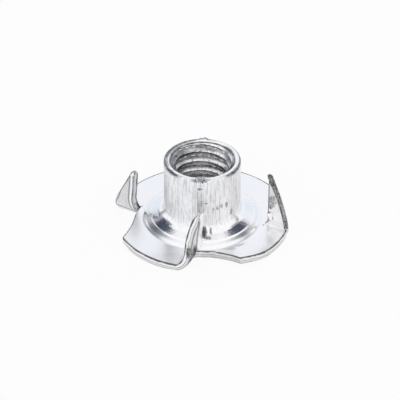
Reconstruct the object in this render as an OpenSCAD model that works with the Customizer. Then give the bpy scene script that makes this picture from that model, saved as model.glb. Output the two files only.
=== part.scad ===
// Pronged tee nut for 5/16-18 bolts, stamped in one piece from sheet steel.
// Z = 0 is the underside of the flange, and the thread's axis is Z.

/* [Flange] */
// Diameter of the round flange
flange_d = 22.2; // [21.4:0.1:26]
// Thickness of the sheet in the flange and the prongs
sheet_t = 1; // [0.8:0.05:1.2]
// Width of the edge that the blanking die draws down under the rim
roll_w = 0.3; // [0.1:0.05:0.4]
// Height of that edge
roll_h = 0.2; // [0.1:0.05:0.4]

/* [Barrel] */
// Height from the underside of the flange to the rim
nut_h = 9.65; // [8:0.05:14]
// Outside diameter of the drawn barrel
barrel_d = 9.7; // [9.4:0.05:10.4]
// Radius that rounds the outer edge of the rim
rim_r = 0.35; // [0.1:0.05:0.4]

/* [Foot] */
// Radius of the fillet between the barrel and the raised ring round its foot
foot_r = 1.45; // [0.8:0.05:1.6]
// Width of the level crest of the raised ring
crest_w = 0.2; // [0.1:0.05:0.4]
// Height of the crest over the flange
crest_h = 0.85; // [0.4:0.05:1]
// Width of the slope from the crest down to the flange
slope_w = 1; // [0.5:0.05:1.1]

/* [Bore] */
// Diameter of the bore at the crests of its thread
bore_d = 6.6; // [6.2:0.05:7.2]
// Diameter of the countersink at the rim
mouth_d = 8.4; // [7.8:0.05:8.5]
// Depth of the countersink
mouth_depth = 0.8; // [0.4:0.05:1.2]
// Radius of the throat that the draw leaves under the barrel
throat_r = 1.6; // [0.8:0.05:1.9]

/* [Prongs] */
// Number of prongs
prong_n = 4; // [3:1:6]
// Turn of the whole pattern of prongs about the axis
prong_az = 74.8; // [0:0.1:120]
// Distance from the axis to the inner end of a bend line
prong_in = 8.05; // [7.8:0.05:8.6]
// Angle of a bend line to the radius through its inner end
prong_skew = 8; // [0:0.5:15]
// Inside radius of the bend
bend_r = 0.8; // [0.4:0.05:1.2]
// Angles that the prongs are bent up from the flange, in turn
prong_angles = [90, 100, 87, 79]; // [70:1:110]
// Lengths of the prongs from their bend lines to their tips, before they are bent
prong_lens = [6.8, 6.3, 6.7, 7.3]; // [5:0.1:7.4]
// Angles that the prongs are twisted by as they are bent
prong_twists = [0, 0, 0, -14]; // [-15:1:15]
// How far each prong slips outwards along its bend line as it is bent
prong_slips = [0, 0.3, -0.3, 0]; // [-0.5:0.1:0.5]
// How far each prong is set back over its bend line
prong_backs = [0, 0.6, 0.2, 0.3]; // [0:0.1:0.6]
// Width of the blunt tip
tip_w = 0.45; // [0.4:0.05:0.8]

/* [Notches] */
// Length of a notch, from the bend line to the corner of the next lobe
notch_len = 7.2; // [6:0.1:8.2]
// Gap between a prong's lower face and the root of its notch
root_gap = 0.15; // [0.05:0.05:0.4]
// How far the notch's edge bows in towards the barrel
notch_bow = 0.25; // [0:0.05:0.5]

/* [Bent lobe] */
// Number of the lobe whose corner the lancing tool has bent up, in turn from the first prong
bent_lobe = 2; // [0:1:5]
// Angle that the corner is bent up by
bent_angle = 20; // [5:1:25]
// Distance of the crease from the axis
crease_at = 7.95; // [7.9:0.05:9]
// Angle round the axis from the lobe's prong to the middle of the crease
crease_turn = 13; // [5:1:25]

/* [Hidden] */
$fn = 128;
steel = "silver";
flange_r = flange_d / 2;
barrel_r = barrel_d / 2;
bore_r = bore_d / 2;
mouth_r = mouth_d / 2;
crest_z = sheet_t + crest_h;
crest_in = barrel_r + foot_r;
crest_out = crest_in + crest_w;
// How far a cut runs on past the metal that it goes through
cut_past = 1;

// A bend keeps the length of the sheet's neutral layer, a little nearer its inside.
neutral_share = 0.42;
neutral_r = bend_r + neutral_share * sheet_t;
// How far the root of a prong's solid is let into its lobe, and its inset from the faces there
root_depth = 0.5;
root_inset = 0.2;
// Flat pieces that stand for the curve of a bend, of a prong's rim and of a notch's edge
bend_steps = 14;
rim_steps = 12;
notch_steps = 8;

// Direction of the crease's middle, and how far the flat metal laps into the bent corner
crease_az = prong_az + bent_lobe * 360 / prong_n + crease_turn;
crease_lap = 0.2;

// The frame of one prong in the flat blank: s runs out along its bend line, and w across it
// to its tip. The centre of the blank lies here in that frame.
centre_s = -prong_in * cos(prong_skew);
centre_w = -prong_in * sin(prong_skew);
function rim_s(w) = centre_s + sqrt(pow(flange_r, 2) - pow(w - centre_w, 2));

// The prong's inner edge is sheared straight from the bend line to the blunt tip.
function inner_s(w, len) = (rim_s(len) - tip_w) * w / len;
function for_prong(list, i) = list[i % len(list)];

// Where a point of the flat blank, w past the bend line and depth below the upper face,
// comes to lie once prong i is bent up: it twists and slips as it goes through the bend.
function folded(s, w, depth, i) =
    let (
        angle = for_prong(prong_angles, i),
        turn = min(angle, w / neutral_r * 180 / PI),
        past = max(0, w - neutral_r * angle * PI / 180),
        r = bend_r + depth,
        x = r * sin(turn) + past * cos(turn),
        share = turn / angle,
        twist = share * for_prong(prong_twists, i)
    )
    [
        s * cos(twist) - x * sin(twist) + share * for_prong(prong_slips, i),
        s * sin(twist) + x * cos(twist) - share * for_prong(prong_backs, i),
        sheet_t + bend_r - r * cos(turn) + past * sin(turn)
    ];

// One cross-section of a prong, from its inner edge round its lower face to its rim
function prong_section(w, i) =
    let (inner = inner_s(w, for_prong(prong_lens, i)))
    [
        folded(inner, w, 0, i),
        folded(inner, w, sheet_t, i),
        folded(rim_s(w), w, sheet_t, i),
        folded(rim_s(w), w, 0, i)
    ];

// The root's end inside the lobe: the section at the bend line, drawn in towards its middle
function root_section(i) =
    let (
        middle = [rim_s(0) / 2, 0, sheet_t / 2],
        share = 1 - 2 * root_inset / sheet_t
    )
    [for (p = prong_section(0, i)) middle + share * (p - middle) - [0, root_depth, 0]];

// The notch's edge, from its root beside the prong to the corner of the next lobe
root_w = bend_r + sheet_t + root_gap;
notch_edge = [
    for (k = [0 : notch_steps])
        let (f = k / notch_steps)
        [rim_s(notch_len) * f - 4 * notch_bow * f * (1 - f), root_w + (notch_len - root_w) * f]
];

module prong_place(i) {
    rotate([0, 0, prong_az + i * 360 / prong_n])
        translate([prong_in, 0, 0])
            rotate([0, 0, -prong_skew])
                children();
}

// What rounding a corner at the origin takes off it: the corner points out to +X, +Y.
module corner_waste(r) {
    difference() {
        translate([-r, -r]) square(2 * r);
        translate([-r, -r]) circle(r);
    }
}

// Half of the section through the barrel, its foot and the plain flange
module nut_section() {
    difference() {
        union() {
            translate([bore_r, 0]) square([flange_r - bore_r, sheet_t]);
            translate([bore_r, 0]) square([barrel_r - bore_r, nut_h]);
            translate([bore_r, 0]) square([crest_in - bore_r, crest_z + foot_r]);
            polygon([
                [bore_r, 0], [bore_r, crest_z], [crest_out, crest_z],
                [crest_out + slope_w, sheet_t], [crest_out, 0]
            ]);
        }
        translate([crest_in, crest_z + foot_r]) circle(foot_r);
        translate([barrel_r, nut_h]) corner_waste(rim_r);
        translate([bore_r, 0]) mirror([1, 0]) mirror([0, 1]) corner_waste(throat_r);
        polygon([[bore_r, nut_h - mouth_depth], [mouth_r, nut_h], [bore_r, nut_h]]);
    }
}

// What the lance and the bend take out of the disc
module notch() {
    beyond = 2 * flange_r;
    translate([0, 0, -cut_past])
        linear_extrude(sheet_t + 2 * cut_past)
            polygon(concat([[beyond, 0], [0, 0]], notch_edge, [[beyond, notch_len]]));
}

// A triangular flap of the sheet, sheared free on two sides and bent up
module prong(i) {
    bent = neutral_r * for_prong(prong_angles, i) * PI / 180;
    rows = concat(
        [for (k = [0 : bend_steps]) bent * k / bend_steps],
        [for (k = [1 : rim_steps]) bent + (for_prong(prong_lens, i) - bent) * k / rim_steps]
    );
    around = 4; // points in a cross-section
    last = around * len(rows);
    points = concat(root_section(i), [for (w = rows) each prong_section(w, i)]);
    sides = [
        for (row = [0 : around : last - 1], j = [0 : around - 1])
            let (a = row + j, b = row + (j + 1) % around)
            [a, b, b + around, a + around]
    ];
    ends = [[for (j = [around - 1 : -1 : 0]) j], [for (j = [0 : around - 1]) last + j]];
    polyhedron(points, concat(sides, ends), convexity = 4);
}

// What the blanking die draws off under the rim: it runs out where a prong's bend rises.
module rim_roll() {
    rotate_extrude()
        polygon([
            [flange_r + roll_w, 2 * roll_h],
            [flange_r - 2 * roll_w, -roll_h],
            [flange_r + roll_w, -roll_h]
        ]);
}

// The barrel and the flat flange, before a corner is bent and the prongs go on
module flat_nut() {
    difference() {
        rotate_extrude() nut_section();
        for (i = [0 : prong_n - 1]) prong_place(i) notch();
    }
}

// The crease runs along the Y axis of this frame, and its X axis points out over the corner.
module crease_place() {
    rotate([0, 0, crease_az]) translate([crease_at, 0, 0]) children();
}

// All that lies beyond the crease, on the lobe's side of its prong
module corner_space(lap) {
    crease_place()
        translate([lap, -crease_at * sin(crease_turn), -cut_past])
            cube([flange_r, flange_d, sheet_t + 2 * cut_past]);
}

// The lobe's corner, turned up about the middle of the sheet
module bent_corner() {
    crease_place()
        translate([0, 0, sheet_t / 2])
            rotate([0, -bent_angle, 0])
                translate([-crease_at, 0, -sheet_t / 2])
                    rotate([0, 0, -crease_az])
                        difference() {
                            intersection() {
                                flat_nut();
                                corner_space(0);
                            }
                            rim_roll();
                        }
}

module tee_nut() {
    color(steel) {
        difference() {
            union() {
                difference() {
                    flat_nut();
                    corner_space(crease_lap);
                }
                for (i = [0 : prong_n - 1]) prong_place(i) prong(i);
            }
            rim_roll();
        }
        bent_corner();
    }
}

tee_nut();
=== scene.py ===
import math

import bmesh
import bpy
from mathutils import Matrix, Vector, noise


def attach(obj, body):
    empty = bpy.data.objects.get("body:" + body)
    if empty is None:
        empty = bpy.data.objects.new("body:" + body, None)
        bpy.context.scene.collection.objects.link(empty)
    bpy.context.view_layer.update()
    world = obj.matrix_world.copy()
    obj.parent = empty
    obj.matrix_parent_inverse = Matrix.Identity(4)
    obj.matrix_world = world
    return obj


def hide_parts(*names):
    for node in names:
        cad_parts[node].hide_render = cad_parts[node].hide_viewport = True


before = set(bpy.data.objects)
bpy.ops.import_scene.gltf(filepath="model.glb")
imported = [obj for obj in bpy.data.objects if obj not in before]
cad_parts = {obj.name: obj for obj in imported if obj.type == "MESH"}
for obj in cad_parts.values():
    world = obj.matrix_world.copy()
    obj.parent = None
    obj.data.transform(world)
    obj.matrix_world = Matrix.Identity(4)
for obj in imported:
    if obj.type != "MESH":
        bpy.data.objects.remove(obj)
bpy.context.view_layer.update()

# ---------------------------------------------------------------------------------------
# Barrel
# The middle of the blank is drawn up into a barrel, which leaves a raised ring round its
# foot and a rounded throat underneath. A tap has cut the 5/16-18 thread down its bore.
# ---------------------------------------------------------------------------------------
# Sizes are in millimetres, angles in degrees, and heights start at the flange's underside.
# A hair is a distance too small to matter.
MM = 0.001
hair = 1e-4
sheet_t = 1.0
nut_h = 9.65
barrel_r = 4.85
rim_round = 0.35
mouth_r = 4.25
mouth_slope = 1.2
bore_r = 3.3
throat_r = 1.6

# The fillet at the barrel's foot, then the ring, with a narrow bead along its crest
foot_r = 1.23
flare_angle = 68
crest_r = 6.45
crest_z = sheet_t + 0.62
bead = ((crest_r + 0.01, crest_z + 0.022), (crest_r - 0.03, crest_z + 0.034))
slope_r = 7.5
slope_w = slope_r - crest_r - 0.05
slope_steps = 14

# The thread's start is a share of a turn, and its flats and flanks are shares of its pitch
thread_pitch = 25.4 / 18
thread_major_r = 4.0
thread_minor_r = 3.35
thread_start = 0.308
thread_root_flat = 1 / 16
thread_flank = 5 / 16
bore_rows = 144

# The flange joins on all round, so the barrel has a step for each column of its four lobes
prong_az = 74.8
lobe_cols = 64


def smooth(x):
    """0 below 0 and 1 above 1, with a rise between them that eases in and out."""
    x = min(1, max(0, x))
    return x * x * (3 - 2 * x)


def arc_points(cx, cz, r, start, end, steps):
    """Points of an arc in the plane of radius and height, without its first point."""
    angles = [math.radians(start + (end - start) * k / steps) for k in range(1, steps + 1)]
    return [(cx + r * math.cos(a), cz + r * math.sin(a)) for a in angles]


def line_points(r0, z0, r1, z1, steps):
    """Points of a straight line in the same plane, without its first point."""
    return [(r0 + (r1 - r0) * k / steps, z0 + (z1 - z0) * k / steps) for k in range(1, steps + 1)]


def slope_share(f):
    """Share of the ring's height at a share of the way in: gentle, steeper, gentle, bead."""
    return 0.65 * f + 0.2 * smooth(f / 0.45) + 0.15 * smooth((f - 0.87) / 0.13)


flare = math.radians(flare_angle)
flare_r = barrel_r + foot_r * (1 - math.cos(flare))
flare_z = crest_z + (crest_r - flare_r) / math.tan(flare)
foot_z = flare_z + foot_r * math.sin(flare)

section = [(slope_r, sheet_t)]
for k in range(1, slope_steps + 1):
    f = k / slope_steps
    z = sheet_t + (crest_z - sheet_t) * slope_share(f)
    section.append((slope_r - slope_w * f, z))
section += bead
section += line_points(*bead[-1], flare_r, flare_z, steps=8)
section += arc_points(barrel_r + foot_r, foot_z, foot_r, 180 + flare_angle, 180, steps=20)
section += line_points(barrel_r, foot_z, barrel_r, nut_h - rim_round, steps=20)
section += arc_points(barrel_r - rim_round, nut_h - rim_round, rim_round, 0, 90, steps=6)
section += line_points(barrel_r - rim_round, nut_h, mouth_r, nut_h, steps=2)
section += line_points(mouth_r, nut_h, bore_r, throat_r, steps=bore_rows)
section += arc_points(bore_r + throat_r, throat_r, throat_r, 180, 270, steps=12)
section += line_points(bore_r + throat_r, 0, slope_r, 0, steps=4)

nut = bmesh.new()
chain = [nut.verts.new((r * MM, 0, z * MM)) for r, z in section]
edges = [nut.edges.new(pair) for pair in zip(chain, chain[1:])]
bmesh.ops.rotate(nut, verts=nut.verts, matrix=Matrix.Rotation(math.radians(prong_az), 3, "Z"))
bmesh.ops.spin(
    nut,
    geom=chain + edges,
    cent=(0, 0, 0),
    axis=(0, 0, 1),
    angle=2 * math.pi,
    steps=4 * lobe_cols,
    use_merge=True,
)


def bore_radius(z, turn):
    """Radius of the tapped bore at a height and a share of a turn about the axis."""
    cone = mouth_r - (nut_h - z) * mouth_slope
    throat = 0
    if z < throat_r:
        throat = bore_r + throat_r - math.sqrt(throat_r**2 - (throat_r - z) ** 2)
    phase = (z / thread_pitch - turn + thread_start) % 1
    flank = (abs(phase - 0.5) - thread_root_flat) / thread_flank
    cut = thread_major_r - (thread_major_r - thread_minor_r) * min(1, max(0, flank))
    return max(cone, throat, cut)


# A layer tells the zinc how far a finish or a painted shade has taken hold at each point: here
# the lines of the draw, the tapped thread with its painted light and shade, the polish of the
# foot, and painted dark lines on the lips. The flange uses the others.
drawn = nut.verts.layers.float.new("drawn")
tapped = nut.verts.layers.float.new("tapped")
polished = nut.verts.layers.float.new("polished")
for name in ("sheared", "below", "inward", "torn", "shade"):
    nut.verts.layers.float.new(name)
lip = nut.verts.layers.float.new("lip")
draw_fade = 1.6
rim_h = 0.4
rim_line_in = 0.1
mouth_line_down = 0.17
for v in nut.verts:
    r = v.co.xy.length / MM
    z = v.co.z / MM
    to_right = v.co.x / (r * MM)
    to_front = -v.co.y / (r * MM)
    if r > barrel_r - rim_round:
        v[drawn] = min(1, max(0, (z - flare_z) / draw_fade))
    if z >= sheet_t:
        v[polished] = smooth((slope_r - r) * 3) * smooth((foot_z + 0.3 - z) * 2)
        v[polished] *= 0.3 + 0.7 * smooth((crest_r + 0.1 - r) / 0.15)
    # The rim gets painted shade at the back and left, and is darker at one place between them; a
    # painted dark line of shade runs round it, which the front lacks
    back_left_spot = smooth(((0.69 * v.co.y - 0.72 * v.co.x) / (r * MM) - 0.72) / 0.22)
    if z > nut_h - rim_h:
        shade_line = max(0, 0.7 - abs(r - barrel_r + rim_line_in) / 0.3)
        shade_line *= 1 - smooth((to_front - 0.7) / 0.2)
        shaded_back_left = smooth((0.6 - to_right) / 0.4) * (1 - smooth((to_front - 0.2) / 0.4))
        v[lip] = max(shade_line, 0.4 * shaded_back_left + 0.35 * back_left_spot)
    in_bore = r < mouth_r + hair and z > hair
    in_throat = r < bore_r + throat_r - hair and z < throat_r
    if in_bore or in_throat:
        turn = math.atan2(v.co.y, v.co.x) / (2 * math.pi)
        v.co.xy *= bore_radius(z, turn) / r
        v[tapped] = smooth((nut_h - 0.22 - z) / 0.1) * smooth((z - 0.9) / 0.8)
        # A painted dark line of shade just inside the mouth, and the rim's darker place at the
        # back left carried onto the top of the bore
        shade_line = 1 - abs(z - nut_h + mouth_line_down) / 0.11
        v[lip] = max(shade_line, 0.5 * back_left_spot * smooth((z - nut_h + 0.1) / 0.1))

# ---------------------------------------------------------------------------------------
# Flange and prongs
# One piece of 1 mm sheet with the barrel. Four triangular flaps are lanced in its rim and
# bent up about skewed lines, each a little differently; the shear leaves rough edges.
# ---------------------------------------------------------------------------------------
flange_r = 11.1
prong_in = 8.05
prong_skew = math.radians(8)
bend_r = 0.8
neutral_r = bend_r + 0.42 * sheet_t
notch_len = 7.2
notch_bow = 0.25
notch_gap = 0.15
root_w = bend_r + sheet_t + notch_gap
centre_s = -prong_in * math.cos(prong_skew)
centre_w = -prong_in * math.sin(prong_skew)

# A prong runs along its bend line in s and away from it in w. tip is the width of its point.
# inner and bulge move its inner and outer edges out, and straight makes the outer edge a
# chord. twist turns it in plan, shift moves it in s, in w and up, tilt raises it with s, and
# curl bends its point outwards. edge_shade_w is the width of the painted dark line of shade along
# its edges, and burnish that of the band beside its inner edge, which has a painted dark line.
back, left, front, right = range(4)
prongs = (
    dict(
        angle=90, length=6.8, tip=0.45, inner=0, bulge=0, straight=0,
        twist=0, shift=(0, 0, 0), tilt=0, curl=0, edge_shade_w=0.16, bevel_band=1,
    ),
    dict(
        angle=100.5, length=5.9, tip=0.75, inner=0.24, bulge=0, straight=1,
        twist=-1, shift=(0.48, -0.75, 0.35), tilt=0.36, curl=0.2, edge_shade_w=0.28, bevel_band=1.3,
    ),
    dict(
        angle=87.3, length=6.5, tip=0.65, inner=-0.8, bulge=-0.6, straight=0,
        twist=-1, shift=(-0.55, -0.25, -0.05), tilt=0, curl=0.15, edge_shade_w=0.16, bevel_band=3.5,
    ),
    dict(
        angle=79.3, length=7.6, tip=0.4, inner=0.5, bulge=0.25, straight=0,
        twist=-17, shift=(-0.1, -0.3, -0.1), tilt=0, curl=0, edge_shade_w=0.2, bevel_band=1,
    ),
)
bulge_w = 1.2
bulge_fade = 3.5
curl_len = 2.6
tip_round = 0.45
tip_worn = 0.8

# The lower corners of the sheet are rounded this far in along its face, and up its wall
lobe_ease = 0.15
outer_ease = (0.4, 0.4)
inner_ease = (0.5, 0.15)

# The lobe after the front prong was bent up a little beside it
lifted_h = 0.7
lifted_run = 1.3

# The blank of a quarter: rows run out from the ring to the rim, and columns round the axis,
# where a lobe's first ones lie along its notch
lobe_in_rows = 3
lobe_out_rows = 24
rows = lobe_in_rows + lobe_out_rows
bend_cols = 16
flap_cols = 24
cols = lobe_cols + bend_cols + flap_cols
root_col = 9
corner_col = 29
wall_cuts = 6
row_crowding = 0.9
wall_crowding = 0.8


def bunch(t, share):
    """Crowds evenly spaced shares of a length towards both of its ends."""
    return t - share * math.sin(2 * math.pi * t) / (2 * math.pi)


def rim_s(w):
    """Where the round rim crosses a line parallel to a prong's bend line."""
    return centre_s + math.sqrt(flange_r**2 - (w - centre_w) ** 2)


def prong_plan(i, s, w):
    """Plan position of a point given along and across the bend line of a prong."""
    a = math.radians(prong_az + 90 * i)
    base = Vector((math.cos(a), math.sin(a))) * prong_in
    along = Vector((math.cos(a - prong_skew), math.sin(a - prong_skew)))
    return base + along * s + Vector((-along.y, along.x)) * w


def outline(i, col):
    """Edge of a lobe: its notch from the prong's foot to the corner, then the round rim."""
    if col <= root_col:
        return prong_plan(i, 0, root_w * col / root_col)
    if col <= corner_col:
        f = (col - root_col) / (corner_col - root_col)
        s = rim_s(notch_len) * f - 4 * notch_bow * f * (1 - f)
        return prong_plan(i, s, root_w + (notch_len - root_w) * f)
    f = (col - corner_col) / (lobe_cols - corner_col)
    start = prong_plan(i, rim_s(notch_len), notch_len)
    end = prong_plan(i + 1, rim_s(0), 0)
    a0 = math.atan2(start.y, start.x)
    a1 = a0 + (math.atan2(end.y, end.x) - a0) % (2 * math.pi)
    a = a0 + (a1 - a0) * f
    return Vector((math.cos(a), math.sin(a))) * flange_r


def eased(edge, depth, wide, deep):
    """Rounds the lower corner of the sheet, wide along its face and deep up its wall."""
    if edge >= wide or depth <= 1 - deep or wide <= 0:
        return edge, depth
    if depth > 1 - hair:
        a = math.pi / 4 * (wide - edge) / wide
    else:
        a = math.pi / 2 - math.pi / 4 * (depth - 1 + deep) / deep
    return wide * (1 - math.sin(a)), 1 - deep * (1 - math.cos(a))


def lift(i, p):
    """How far the lobe after prong i stands up from the plane of the flange."""
    if i != front:
        return 0
    az = math.degrees(math.atan2(p.y, p.x)) % 360
    out = smooth((p.length - slope_r) / lifted_run)
    return lifted_h * out * smooth((az - 255) / 12) * (1 - smooth((az - 290) / 30))


def lobe_point(i, col, row, depth):
    """Place of a point on the lobe after prong i, and how far it is from the lobe's edge."""
    a = math.radians(prong_az + 90 * i + 90 * col / lobe_cols)
    spoke = Vector((math.cos(a), math.sin(a)))
    if row <= lobe_in_rows:
        p = spoke * (slope_r + (prong_in - slope_r) * row / lobe_in_rows)
        return Vector((p.x, p.y, sheet_t * (1 - depth) + lift(i, p))), 1
    start = spoke * prong_in
    end = outline(i, col)
    length = (end - start).length
    if length < hair:
        return Vector((end.x, end.y, sheet_t * (1 - depth))), 0
    away = length * (1 - bunch((row - lobe_in_rows) / lobe_out_rows, row_crowding))

    # The lobe after the left prong is rolled over along its notch and where it ends
    ease = lobe_ease
    if i == left:
        by_notch = 1 - smooth((col - corner_col) / 9)
        by_end = smooth((col - lobe_cols + 8) / 8)
        ease += 0.35 * by_notch + 0.3 * by_end
    ease *= min(1, length)
    edge, depth = eased(away, depth, ease, ease)
    p = end + (start - end) * edge / length
    return Vector((p.x, p.y, sheet_t * (1 - depth) + lift(i, p))), away + max(0, 0.6 - length)


def flap_point(i, col, row, depth):
    """Place of a point on prong i, then how far it is from the outer edge, from the inner
    edge and from the bend line, in the flat sheet."""
    form = prongs[i % 4]
    angle = math.radians(form["angle"])
    full = form["length"]
    bent = neutral_r * angle
    if col <= bend_cols:
        w = bent * col / bend_cols
    else:
        f = (col - bend_cols) / flap_cols
        w = bent + (full - bent) * math.sin(f * math.pi / 2)
    grown = smooth(w / bent)

    # The two edges of the flap, which draw together round its worn tip
    tip_s = rim_s(min(full, notch_len)) - form["tip"]
    inner = tip_s * w / full + form["inner"] * grown
    outer = rim_s(w)
    outer += form["bulge"] * smooth(w / bulge_w) * (1 - smooth((w - bulge_w) / bulge_fade))
    chord = rim_s(0) + (rim_s(full) - rim_s(0)) * w / full
    chord += 0.5 * smooth(w) * (1 - smooth((w - 0.9) / 1.0))
    outer += form["straight"] * (chord - outer)
    worn = min(1, max(0, w - full + tip_worn) / tip_worn)
    depth = 0.5 + (depth - 0.5) * math.sqrt(1 - 0.9 * worn**2)
    rounded = min(1, max(0, w - full + tip_round) / tip_round)
    middle = (inner + outer) / 2
    half = (outer - inner) / 2 * math.sqrt(1 - 0.85 * rounded**2)

    # The point between them, with the sheet's lower corners rounded
    length = 2 * half
    edge = length * (1 - bunch((row - lobe_in_rows) / lobe_out_rows, row_crowding))
    near = min(1, length)
    in_near = near * smooth(w / 1.5)
    out_edge, out_depth = eased(edge, depth, *(near * e for e in outer_ease))
    in_edge, in_depth = eased(length - edge, depth, *(in_near * e for e in inner_ease))
    s = middle + half - edge
    if out_depth != depth or out_edge != edge:
        s = middle + half - out_edge
        depth = out_depth
    elif in_depth != depth or in_edge != length - edge:
        s = middle - half + in_edge
        depth = in_depth

    # Bent up, then curled, twisted, shifted and tilted
    turn = min(angle, w / neutral_r)
    past = max(0, w - bent)
    r = bend_r + depth * sheet_t
    x = r * math.sin(turn) + past * math.cos(turn)
    z = sheet_t + bend_r - r * math.cos(turn) + past * math.sin(turn)
    x += form["curl"] * smooth((w - full + curl_len) / curl_len)
    psi = math.radians(form["twist"]) * grown
    s, x = s * math.cos(psi) - x * math.sin(psi), s * math.sin(psi) + x * math.cos(psi)
    ds, dw, dz = form["shift"]
    p = prong_plan(i, s + ds * grown, x + dw * grown)
    height = z + dz * grown + form["tilt"] * s * grown
    return Vector((p.x, p.y, height)), edge, length - edge, w


def joins(face):
    """True for a blank's wall that lies inside the metal, against barrel or next lobe."""
    slack = 1e-3
    level = all(abs(v.co.z - face.verts[0].co.z) < slack for v in face.verts)
    c = face.calc_center_median()
    at_end = c.y < lobe_in_rows and (c.x < slack or abs(c.x - lobe_cols) < slack)
    return not level and (c.y < slack or at_end)


# A quarter is the lobe after prong i and then the next prong, numbered k
for i in range(4):
    k = (i + 1) % 4
    form = prongs[k]
    blank = bmesh.new()
    bmesh.ops.create_grid(blank, x_segments=cols, y_segments=rows, size=0.5)
    bmesh.ops.translate(blank, verts=blank.verts, vec=(0.5, 0.5, 0))
    bmesh.ops.scale(blank, verts=blank.verts, vec=(cols, rows, 1))
    beyond = [
        f
        for f in blank.faces
        if f.calc_center_median().x > lobe_cols and f.calc_center_median().y < lobe_in_rows
    ]
    bmesh.ops.delete(blank, geom=beyond, context="FACES")
    skin = bmesh.ops.extrude_face_region(blank, geom=blank.faces[:])
    lower = [g for g in skin["geom"] if isinstance(g, bmesh.types.BMVert)]
    bmesh.ops.translate(blank, verts=lower, vec=(0, 0, 1))
    upright = [e for e in blank.edges if abs(e.verts[0].co.z - e.verts[1].co.z) > 0.5]
    bmesh.ops.subdivide_edges(blank, edges=upright, cuts=wall_cuts, use_grid_fill=True)
    bmesh.ops.delete(blank, geom=[f for f in blank.faces if joins(f)], context="FACES")

    # Every column, row and depth of the blank goes to its place in the pressed nut
    sheared, below, lip, inward, torn, shade = (
        blank.verts.layers.float.new(name)
        for name in ("sheared", "below", "lip", "inward", "torn", "shade")
    )
    for v in blank.verts:
        col, row, depth = v.co
        col, row = round(col), round(row)
        depth = bunch(depth, wall_crowding)
        outer_wall = row == rows
        inner_wall = col > lobe_cols and row == lobe_in_rows
        end_wall = col == cols or (col == 0 and row >= lobe_in_rows)
        v[sheared] = 1.0 if outer_wall or inner_wall or end_wall else 0.0
        v[below] = depth
        if col > lobe_cols or (col == lobe_cols and row > lobe_in_rows):
            v.co, outer, inner, w = flap_point(i + 1, col - lobe_cols, row, depth)
            risen = smooth(w / 1.5)
            # A painted dark line of shade along the prong's edges
            nearest = outer if k == front or not risen else min(outer, inner / risen)
            v[lip] = max(0, 1 - nearest / form["edge_shade_w"])
            # Painted shade on the outward faces of the left and front prongs, for what they
            # mirror, kept off the band beside the inner edge, whose edge gets a painted dark
            # line; the left prong also gets a painted dark line across its bend
            if depth > 0.5:
                v[inward] = risen * max(0, 1 - inner / form["bevel_band"])
                if k == left:
                    v[shade] = risen * (0.5 - 0.5 * v[inward])
                    v[lip] = max(v[lip], 0.6 - abs(w - 0.9) / 0.3)
                elif k == front:
                    v[shade] = risen * (1.2 - smooth((w - 2.2) / 1.5))
            # How far down the shear broke through, moving the walls' painted dark lines, and the
            # torn outer edge on the right
            if k == front and outer_wall:
                v[below] = 1.05 * depth
            elif k == left and inner_wall:
                v[below] = 0.5 * depth + 0.5 * smooth((depth - 0.75) / 0.25)
            elif k == right:
                past_foot = smooth((w - 1.3) / 0.3)
                if outer_wall:
                    v[torn] = past_foot * (1 - 0.35 * max(0, 1 - abs(w - 3.6) / 1.2))
                else:
                    v[torn] = past_foot * max(0, 1 - outer / 0.15)
                    v[sheared] = max(v[sheared], v[torn])
        else:
            v.co, away = lobe_point(i, col, row, depth)
            # A painted dark line of shade along the lobe's edges, broken up along the notch of
            # the lobe after the front prong
            v[lip] = max(0, 1 - away / 0.2)
            # The notch is torn, with a burr along its upper edge
            if row >= rows - 1 and root_col + 2 < col < corner_col:
                burr = noise.noise(Vector((col * 0.7, i * 5.0, row * 0.5)))
                v.co.z += 0.16 * max(0, burr) * (1 - depth)
            if root_col < col < corner_col:
                if outer_wall:
                    v[torn] = 0.25
                if i == front:
                    v[lip] *= 0.6 + 1.4 * noise.noise(Vector((col * 0.9, 7.0, 0.0)))
        v.co *= MM
    quarter = bpy.data.meshes.new("quarter")
    blank.to_mesh(quarter)
    blank.free()
    nut.from_mesh(quarter)
    bpy.data.meshes.remove(quarter)

weld_gap = 0.002
bmesh.ops.remove_doubles(nut, verts=nut.verts, dist=weld_gap * MM)

# Burrs, as centre, radius and push: two on the rim, one on the left prong's tip, and one
# beside the foot of the left prong and of the right one
for centre, radius, push in (
    ((0.4, 4.6, 9.65), 0.5, (0, 0, 0.27)),
    ((-0.15, 4.6, 9.65), 0.35, (0, 0, 0.18)),
    ((-8.47, 2.25, 6.15), 0.4, (0.14, 0, 0.16)),
    ((-8.6, 1.3, 1.6), 0.55, (-0.15, -0.25, 0.1)),
    ((8.55, -1.9, 2.3), 0.5, (-0.4, -0.1, 0.35)),
):
    for v in nut.verts:
        near = smooth(1 - (v.co / MM - Vector(centre)).length / radius)
        v.co += Vector(push) * near * MM
bmesh.ops.recalc_face_normals(nut, faces=nut.faces)
for f in nut.faces:
    f.smooth = True
sharp_angle = 38
mesh = bpy.data.meshes.new("tee_nut_body")
nut.to_mesh(mesh)
nut.free()
mesh.set_sharp_from_angle(angle=math.radians(sharp_angle))
body = bpy.data.objects.new("tee_nut_body", mesh)
bpy.context.collection.objects.link(body)

# ---------------------------------------------------------------------------------------
# Zinc plating
# Bright electroplated zinc over cold-rolled steel: a pale mirror with a faint blue cast,
# dulled by the marks of the draw on the barrel and rough where the sheet was sheared. Light
# and shade are also painted into its colour: in the bore, along edges, on the prongs' faces
# and in spots.
# ---------------------------------------------------------------------------------------
pale_zinc = (0.965, 0.97, 0.99, 1)
paler_zinc = (0.985, 0.98, 0.99, 1)
dull_zinc_and_shade = (0.05, 0.052, 0.062, 1)
zinc = bpy.data.materials.new("bright_zinc")
zinc.use_nodes = True
zinc_tree = zinc.node_tree
shader = zinc_tree.nodes["Principled BSDF"]
shader.inputs["Metallic"].default_value = 1.0


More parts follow.
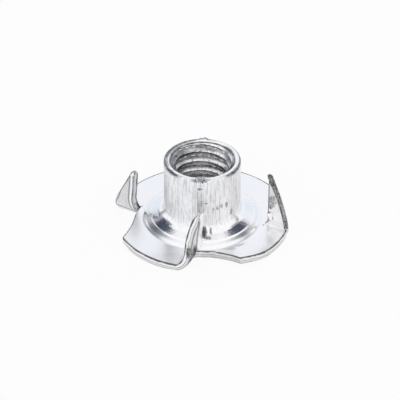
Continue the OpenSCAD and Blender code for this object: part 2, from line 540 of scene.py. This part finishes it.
def node(kind, settings=None, tree=zinc_tree, **inputs):
    """A node with its settings made, and its inputs set or linked; _0 is the first input."""
    made = tree.nodes.new(kind)
    for name, value in (settings or {}).items():
        setattr(made, name, value)
    for name, value in inputs.items():
        socket = made.inputs[int(name[1:])] if name[0] == "_" else made.inputs[name]
        if isinstance(value, bpy.types.NodeSocket):
            tree.links.new(value, socket)
        else:
            socket.default_value = value
    return made


def math_node(operation, *values, clamp=False, tree=zinc_tree):
    inputs = {f"_{k}": v for k, v in enumerate(values)}
    settings = dict(operation=operation, use_clamp=clamp)
    return node("ShaderNodeMath", settings, tree, **inputs).outputs[0]


def vector_node(operation, *values, tree=zinc_tree):
    inputs = {f"_{k}": v for k, v in enumerate(values)}
    made = node("ShaderNodeVectorMath", dict(operation=operation), tree, **inputs)
    return made.outputs["Value" if operation in ("LENGTH", "DOT_PRODUCT") else "Vector"]


def plus(a, b):
    return math_node("ADD", a, b)


def times(a, b):
    return math_node("MULTIPLY", a, b)


def scaled(value, factor, added):
    return math_node("MULTIPLY_ADD", value, factor, added)


def greatest(a, b):
    return math_node("MAXIMUM", a, b)


def attribute(name):
    return node("ShaderNodeAttribute", dict(attribute_name=name)).outputs["Fac"]


def speckle(vector, detail):
    """Noise whose grains are about one unit of the vector across."""
    return node("ShaderNodeTexNoise", Vector=vector, Scale=1.0, Detail=detail).outputs["Fac"]


def grain(vector, stretch, detail):
    """Noise over Object coordinates, stretch being how many grains to a metre each way."""
    return speckle(vector_node("MULTIPLY", vector, stretch), detail)


def centred(noise_value):
    """The same noise, made to swing about nought."""
    return math_node("SUBTRACT", noise_value, 0.5)


def ramp(value, low, high, top=1.0, kind="LINEAR", tree=zinc_tree):
    """0 at low and top at high, and level beyond them."""
    ends = {"From Min": low, "From Max": high, "To Max": top}
    settings = dict(interpolation_type=kind)
    return node("ShaderNodeMapRange", settings, tree, Value=value, **ends).outputs["Result"]


def bands(value, *stops):
    """Grays along a value, each stop being its position, its red and green, and its blue."""
    made = node("ShaderNodeValToRGB", Fac=value)
    elements = made.color_ramp.elements
    first, *between, last = stops
    for k, (position, gray, blue) in enumerate((first, last)):
        elements[k].position, elements[k].color = position, (gray, gray, blue, 1)
    for position, gray, blue in between:
        elements.new(position).color = (gray, gray, blue, 1)
    return made.outputs["Color"]


def mixed(factor, a, b, tree=zinc_tree, **settings):
    """Colour a, with b laid over it by a factor."""
    settings = dict(data_type="RGBA", **settings)
    return node("ShaderNodeMix", settings, tree, Factor=factor, A=a, B=b).outputs["Result"]


place = node("ShaderNodeTexCoord").outputs["Object"]
outwards = vector_node("NORMALIZE", vector_node("MULTIPLY", place, (1, 1, 0)))
fine = grain(place, (2600, 2600, 2600), 3.0)

# Upright lines and mottling that the draw left on the barrel, and lines down the ring
draw_lines = grain(place, (7500, 7500, 260), 5.0)
mottle = ramp(grain(place, (3500, 3500, 1200), 4.0), 0.45, 0.7)
draw_marks = times(ramp(draw_lines, 0.5, 0.7), attribute("drawn"))
draw_marks = scaled(times(mottle, attribute("drawn")), 0.45, draw_marks)
slope_lines = grain(outwards, (60, 60, 0), 3.0)
slope_marks = times(ramp(slope_lines, 0.5, 0.72), attribute("polished"))
darkening = plus(times(draw_marks, 0.42), times(slope_marks, 0.1))

# Painted shade: dark lines on the lips, dark lines in the bands beside the prongs' inner
# edges, and shade on their faces
beside = bands(
    attribute("inward"), (0.38, 0, 0), (0.45, 0.68, 0.68), (0.54, 0.72, 0.72), (0.64, 0, 0)
)
patchy = plus(0.3, fine)
off_bevel = math_node("SUBTRACT", 1.0, ramp(attribute("inward"), 0.5, 0.6))
face_shade = times(times(attribute("shade"), off_bevel), patchy)
face_shade_gain = scaled(attribute("inward"), 1.2, 0.65)
face_shade = math_node("MULTIPLY", face_shade, face_shade_gain, clamp=True)
painted_lip_line = times(ramp(attribute("lip"), 0.1, 0.55), patchy)
for extra in (beside, face_shade, painted_lip_line):
    darkening = greatest(darkening, extra)
cloud = ramp(grain(place, (160, 160, 160), 2.0), 0.35, 0.65)
# The real marks and the painted shade are laid over the plate together in the dark colour
worn = mixed(darkening, mixed(cloud, pale_zinc, paler_zinc), dull_zinc_and_shade)

# The tapped bore, with light and shade painted into its colour: the flanks of the thread
# catch the light or lie in shadow. The tap's chatter and streaks run along the thread. The
# painted light is brightest a little below the mouth, and painted shade darkens the bore with
# depth and at the left.
split = node("ShaderNodeSeparateXYZ", Vector=place)
across, up = split.outputs["X"], split.outputs["Z"]
around = math_node("DIVIDE", math_node("ARCTAN2", split.outputs["Y"], across), 2 * math.pi)
climb = plus(math_node("DIVIDE", up, thread_pitch * MM), thread_start)
phase = math_node("SUBTRACT", climb, around)


def tap_noise(to_a_pitch, to_a_turn, detail):
    """Noise about nought along the thread, with so many grains to a pitch and to a turn."""
    unwound = dict(X=times(phase, to_a_pitch), Y=times(around, to_a_turn))
    return centred(speckle(node("ShaderNodeCombineXYZ", **unwound).outputs[0], detail))


chatter = tap_noise(6.0, 60.0, 4.0)
streaks = tap_noise(9.0, 6.0, 3.0)
thread_shading = bands(
    math_node("FRACT", plus(phase, times(chatter, 0.12))),
    (0.0, 0.32, 0.33),
    (0.08, 0.38, 0.3914),
    (0.12, 0.95, 0.9785),
    (0.24, 1.0, 1.03),
    (0.29, 0.7, 0.721),
    (0.41, 0.65, 0.6695),
    (0.45, 1.0, 1.03),
    (0.8, 0.95, 0.9785),
    (0.88, 0.38, 0.3914),
    (1.0, 0.32, 0.33),
)
shine = scaled(streaks, 3.2, plus(1.0, times(chatter, 2.6)))
bore_shade = scaled(ramp(up, 8.2 * MM, 8.6 * MM), -0.85, 1.45)
bore_shade = scaled(ramp(up, 9.0 * MM, 9.2 * MM), 0.4, bore_shade)
bore_shade = times(bore_shade, scaled(ramp(up, 4.0 * MM, 7.8 * MM), 0.58, 0.42))
bore_shade = times(bore_shade, scaled(ramp(across, -3.8 * MM, -2.0 * MM), 0.55, 0.45))
bore = mixed(1.0, thread_shading, times(shine, bore_shade), blend_type="MULTIPLY", clamp_result=True)
threaded = mixed(attribute("tapped"), worn, bore)

# The sheared walls: layers of smooth and broken metal at wandering depths, or all torn; the
# dark lines along their top, across their middle and at their foot are partly the rough metal
# and partly painted shade
wander = centred(grain(place, (900, 900, 900), 4.0))
strata = bands(
    plus(attribute("below"), times(wander, 0.5)),
    (0.0, 0.1, 0.11),
    (0.12, 0.14, 0.1414),
    (0.22, 0.9, 0.909),
    (0.45, 0.95, 0.9595),
    (0.52, 0.25, 0.2525),
    (0.6, 0.85, 0.8585),
    (0.85, 0.65, 0.6565),
    (1.0, 0.35, 0.36),
)
broken = bands(grain(place, (5200, 5200, 5200), 4.0), (0.4, 0.05, 0.055), (0.68, 0.5, 0.5))
wall = mixed(attribute("torn"), strata, broken)
cut = mixed(attribute("sheared"), threaded, wall)


def blot(centre, radii, strength):
    """A soft-edged dull spot round a point of the part, both given in millimetres."""
    offset = vector_node("SUBTRACT", place, [c * MM for c in centre])
    far = vector_node("LENGTH", vector_node("MULTIPLY", offset, [1 / (r * MM) for r in radii]))
    ragged = plus(far, times(centred(fine), 1.1))
    return ramp(ragged, 1.15, 0.6, top=strength, kind="SMOOTHSTEP")


# Dark spots as centre, radii and strength, broken up by grain: knocks, scale and nicks, and
# painted shade on the rim's edge, a painted reflection of the front prong in the foot's fillet
# and painted reflections on the right prong's face; then unbroken dark patches: painted shade
# on the flange either side of the front prong, the painted reflection in the fillet again, and
# one by the front prong's foot
spots_and_shade = 0.0
for spot in (
    ((-1.73, -9.67, 2.3), (0.3, 0.5, 0.95), 1.0),
    ((-0.3, -4.75, 9.55), (1.3, 0.6, 0.3), 0.95),
    ((-0.3, -4.84, 8.35), (0.4, 0.3, 0.18), 0.75),
    ((-0.57, -4.81, 6.3), (0.08, 0.3, 2.2), 0.6),
    ((-0.12, -4.84, 6.4), (0.08, 0.3, 2.1), 0.5),
    ((0.45, -4.83, 6.2), (0.24, 0.3, 0.09), 1.0),
    ((1.39, -4.65, 5.2), (0.17, 0.3, 0.3), 0.8),
    ((1.89, -4.47, 5.25), (0.15, 0.3, 0.33), 0.8),
    ((2.39, -4.22, 5.4), (0.17, 0.3, 0.3), 0.85),
    ((3.02, -3.8, 5.3), (0.2, 0.3, 0.45), 0.9),
    ((3.66, -3.19, 3.9), (0.3, 0.3, 0.5), 0.7),
    ((0.2, -5.5, 2.25), (0.45, 1.0, 0.85), 1.0),
    ((0.6, -6.0, 1.75), (0.55, 0.3, 0.4), 0.9),
    ((1.05, -5.35, 2.35), (0.2, 0.6, 0.6), 0.9),
    ((8.75, -1.6, 4.2), (0.8, 0.7, 1.0), 0.75),
    ((8.55, -1.7, 3.4), (0.45, 0.4, 0.22), 0.95),
    ((8.5, -1.83, 2.72), (0.32, 0.3, 0.1), 1.0),
    ((8.88, -2.15, 2.1), (0.12, 0.3, 0.28), 0.9),
    ((8.35, -2.0, 1.65), (0.4, 0.4, 0.16), 0.7),
    ((-8.55, 1.5, 1.7), (0.25, 0.4, 0.15), 0.8),
    ((-3.75, -2.8, 9.5), (0.95, 0.95, 0.16), 0.8),
    ((4.1, -2.3, 9.4), (1.0, 1.4, 0.16), 0.8),
):
    spots_and_shade = greatest(spots_and_shade, blot(*spot))
spots_and_shade = times(spots_and_shade, ramp(grain(place, (6500, 6500, 4000), 4.0), 0.25, 0.6))
for dark_patch in (
    ((-4.4, -8.8, 1.0), (2.4, 0.9, 0.3), 0.08),
    ((-6.3, -8.4, 1.0), (1.6, 0.6, 0.3), 0.04),
    ((3.2, -8.0, 1.5), (1.1, 0.6, 0.8), 0.28),
    ((0.2, -5.45, 2.2), (0.3, 0.7, 0.6), 0.95),
    ((-1.85, -9.7, 2.0), (0.25, 0.5, 0.75), 0.75),
):
    spots_and_shade = greatest(spots_and_shade, blot(*dark_patch))
zinc_tree.links.new(mixed(spots_and_shade, cut, dull_zinc_and_shade), shader.inputs["Base Color"])

# The sheared walls and the barrel are rougher, and the polished foot is smoother
rough = plus(times(attribute("sheared"), 0.1), 0.28)
rough = math_node("SUBTRACT", rough, times(attribute("polished"), 0.16))
rough = plus(rough, times(attribute("drawn"), 0.12))
zinc_tree.links.new(rough, shader.inputs["Roughness"])

# Pits in the sheared walls, lines of the draw, a faint peel all over and grain on the ring
pits = times(grain(place, (7000, 7000, 7000), 3.0), attribute("sheared"))
lines = times(draw_lines, attribute("drawn"))
peel = times(grain(place, (500, 500, 500), 2.0), 0.6)
ring_grain = times(grain(place, (3500, 3500, 2500), 3.0), attribute("polished"))
relief = plus(plus(times(pits, 1.5), times(lines, 0.8)), scaled(ring_grain, 0.7, peel))
bump = node("ShaderNodeBump", Strength=1.0, Distance=0.02 * MM, Height=relief)
zinc_tree.links.new(bump.outputs["Normal"], shader.inputs["Normal"])
mesh.materials.append(zinc)

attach(body, "root")
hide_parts("tee_nut")

# ---------------------------------------------------------------------------------------
# Studio
# A plain white floor in a soft white tent, with darker gaps at the tent's two sides. The
# bright plating mirrors the gaps as dark bands.
# ---------------------------------------------------------------------------------------
plain_white = (1, 1, 1, 1)
floor_half = 0.6
floor_mesh = bpy.data.meshes.new("floor")
slab = bmesh.new()
bmesh.ops.create_grid(slab, x_segments=1, y_segments=1, size=floor_half)
slab.to_mesh(floor_mesh)
slab.free()
floor = bpy.data.objects.new("floor", floor_mesh)
bpy.context.collection.objects.link(floor)

# The floor looks white to the camera and in mirrors, and keeps the nut's shadow
floor_paint = bpy.data.materials.new("white_floor")
floor_paint.use_nodes = True
floor_tree = floor_paint.node_tree
matt = floor_tree.nodes["Principled BSDF"]
matt.inputs["Base Color"].default_value = (0.92, 0.92, 0.92, 1)
matt.inputs["Roughness"].default_value = 0.9
glow = node("ShaderNodeEmission", tree=floor_tree, Color=plain_white)
ray = node("ShaderNodeLightPath", tree=floor_tree).outputs
mirrored = math_node("MULTIPLY", ray["Is Glossy Ray"], 0.8, tree=floor_tree)
glowing = math_node("MULTIPLY_ADD", ray["Is Camera Ray"], 0.9, mirrored, tree=floor_tree)
surface = node(
    "ShaderNodeMixShader", tree=floor_tree, _0=glowing, _1=matt.outputs[0], _2=glow.outputs[0]
)
floor_output = floor_tree.nodes["Material Output"]
floor_tree.links.new(surface.outputs[0], floor_output.inputs["Surface"])
floor_mesh.materials.append(floor_paint)

tent = bpy.data.worlds.new("tent")
bpy.context.scene.world = tent
tent.use_nodes = True
tent_tree = tent.node_tree
looking = node("ShaderNodeTexCoord", tree=tent_tree).outputs["Generated"]


def towards(azimuth, elevation):
    a, e = math.radians(azimuth), math.radians(elevation)
    return Vector((math.cos(e) * math.cos(a), math.cos(e) * math.sin(a), math.sin(e)))


def patch(azimuth, elevation, inner, outer):
    """1 within inner degrees of a direction, falling to 0 at outer degrees."""
    direction = towards(azimuth, elevation).normalized()
    dot = vector_node("DOT_PRODUCT", looking, direction, tree=tent_tree)
    low, high = math.cos(math.radians(outer)), math.cos(math.radians(inner))
    return ramp(dot, low, high, kind="SMOOTHSTEP", tree=tent_tree)


# The tent's patches, as azimuth and elevation, inner and outer reach, and colour: the first
# three shade the cloth at the back, and the rest are the gaps and their soft edges
cloth = plain_white
for azimuth, elevation, inner, outer, colour in (
    (90, 20, 25, 80, (0.9, 0.92, 0.96)),
    (113, 16, 5, 15, (0.8, 0.85, 0.92)),
    (62, 19, 5, 15, (0.8, 0.85, 0.92)),
    (126, 45, 7, 13, (0.05, 0.06, 0.1)),
    (148, 37, 9, 17, (0.06, 0.07, 0.1)),
    (162, 33, 6, 14, (0.25, 0.25, 0.28)),
    (52, 51, 6, 13, (0.05, 0.06, 0.1)),
    (36, 48, 5, 12, (0.07, 0.08, 0.1)),
    (20, 43, 5, 13, (0.35, 0.36, 0.4)),
    (127, 27, 4, 11, (0.35, 0.36, 0.4)),
    (131, 53, 3, 7, (0.08, 0.09, 0.13)),
    (47, 58, 3, 7, (0.08, 0.09, 0.13)),
):
    cloth = mixed(patch(azimuth, elevation, inner, outer), cloth, (*colour, 1), tree=tent_tree)
to_camera = node("ShaderNodeLightPath", tree=tent_tree).outputs["Is Camera Ray"]
background = tent_tree.nodes["Background"]
tent_tree.links.new(
    mixed(to_camera, cloth, plain_white, tree=tent_tree), background.inputs["Color"]
)
background.inputs["Strength"].default_value = 1.0

pitch = math.radians(55.232)
roll = math.radians(-0.165)
camera = bpy.data.cameras.new("camera")
camera.lens = 208.0
camera.sensor_width = 36
camera.clip_start = 0.01
view = bpy.data.objects.new("camera", camera)
view.location = (-0.000294, -0.24059, 0.17041)
view.rotation_euler = (Matrix.Rotation(pitch, 4, "X") @ Matrix.Rotation(roll, 4, "Z")).to_euler()
bpy.context.collection.objects.link(view)
bpy.context.scene.camera = view
bpy.context.scene.view_settings.view_transform = "Standard"
